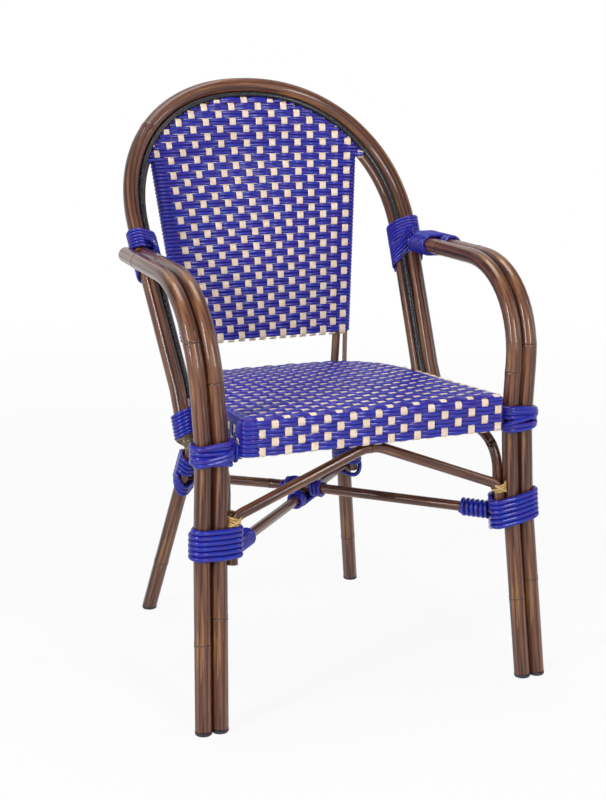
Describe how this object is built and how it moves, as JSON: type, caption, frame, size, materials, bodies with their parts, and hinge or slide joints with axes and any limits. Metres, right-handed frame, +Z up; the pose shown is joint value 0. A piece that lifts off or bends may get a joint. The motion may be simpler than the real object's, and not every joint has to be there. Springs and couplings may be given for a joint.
{
  "type": "woven bistro armchair",
  "caption": "Open armchair with a bamboo-look tube frame, a woven seat and a woven arched back, bent tube arms, crossed stretchers and strand bindings at its joints.",
  "frame": {"origin": "on the floor, under the middle of the chair's overall box", "axes": "+Z up, -Y the way the sitter faces, +X the sitter's left side"},
  "size_m": [0.5798, 0.573, 0.9133],
  "materials": {
    "bamboo_look_tube": "brown wood-look paint, satin to glossy",
    "strand": "deep blue-violet synthetic strand, glossy",
    "weave": "blue-violet strands with cream flat strands between them",
    "piping": "black, smooth",
    "glide": "dark grey, matt",
    "steel": "dark screw head"
  },
  "bodies": {
    "root": {"outer_back_hoop": "bamboo_look_tube", "seat_upper_ring": "bamboo_look_tube", "seat_lower_ring": "bamboo_look_tube", "seat_stub_left": "bamboo_look_tube", "seat_stub_right": "bamboo_look_tube", "inner_back_hoop": "bamboo_look_tube", "hoop_piping": "piping", "back_weave": "weave", "back_upright_left": "bamboo_look_tube", "back_rod_left": "bamboo_look_tube", "back_upright_right": "bamboo_look_tube", "back_rod_right": "bamboo_look_tube", "back_bottom_rail": "bamboo_look_tube", "seat_weave": "weave", "seat_strut_1": "bamboo_look_tube", "seat_strut_2": "bamboo_look_tube", "seat_strut_3": "bamboo_look_tube", "seat_strut_4": "bamboo_look_tube", "seat_strut_5": "bamboo_look_tube", "seat_strut_6": "bamboo_look_tube", "seat_screw_left": "steel", "left_outer_arm_tube": "bamboo_look_tube", "foot_glide_front_left_outer": "glide", "left_inner_arm_tube": "bamboo_look_tube", "foot_glide_front_left_inner": "glide", "seat_screw_right": "steel", "right_outer_arm_tube": "bamboo_look_tube", "foot_glide_front_right_outer": "glide", "right_inner_arm_tube": "bamboo_look_tube", "foot_glide_front_right_inner": "glide", "rear_leg_left": "bamboo_look_tube", "foot_glide_rear_left": "glide", "rear_leg_right": "bamboo_look_tube", "foot_glide_rear_right": "glide", "front_arch_brace": "bamboo_look_tube", "side_arch_brace_left": "bamboo_look_tube", "side_arch_brace_right": "bamboo_look_tube", "low_stretcher": "bamboo_look_tube", "bowed_stretcher": "bamboo_look_tube", "low_binding_left": "strand", "seat_binding_left": "strand", "low_binding_right": "strand", "seat_binding_right": "strand", "arm_binding_left": "strand", "post_binding_left": "strand", "arm_binding_right": "strand", "post_binding_right": "strand", "rear_leg_binding_left": "strand", "rear_leg_binding_right": "strand", "low_stretcher_spiral": "strand", "bowed_stretcher_spiral": "strand", "crossing_binding": "strand"}
  },
  "joints": []
}
